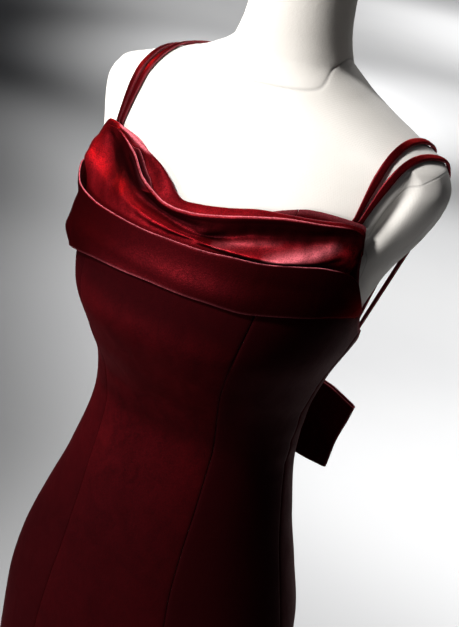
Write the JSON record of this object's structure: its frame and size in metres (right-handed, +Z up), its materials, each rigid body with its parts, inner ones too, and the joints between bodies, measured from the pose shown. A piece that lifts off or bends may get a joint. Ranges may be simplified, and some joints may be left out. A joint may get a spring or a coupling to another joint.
{
  "type": "mermaid prom dress on a dress form",
  "caption": "Floor-length velvet mermaid gown with a cowl neckline, folded band, twin shoulder straps and a back bow, worn by a limbless dress form on a round stand.",
  "frame": {"origin": "on the floor, at the centre of the underside of the stand base", "axes": "+Z is up, -Y is the way the form faces, +X is the wearer's left"},
  "size_m": [0.727, 0.6835, 1.515],
  "materials": {
    "velvet": "dark burgundy stretch velvet, short pile, soft sheen where it turns away",
    "form_cover": "off-white jersey cover drawn smooth over the form",
    "stand_paint": "satin off-white paint",
    "pole_steel": "bright brushed tube"
  },
  "bodies": {
    "root": {"form_torso": "form_cover", "stand_base": "stand_paint", "stand_pole": "pole_steel", "panel_centre_front": "velvet", "panel_side_front_left": "velvet", "panel_side_front_right": "velvet", "panel_side_back_left": "velvet", "panel_side_back_right": "velvet", "panel_centre_back_left": "velvet", "panel_centre_back_right": "velvet", "cowl": "velvet", "band": "velvet", "strap_left_inner": "velvet", "strap_left_outer": "velvet", "strap_right_inner": "velvet", "strap_right_outer": "velvet", "bow_loop_left": "velvet", "bow_loop_right": "velvet", "bow_knot": "velvet"}
  },
  "joints": []
}
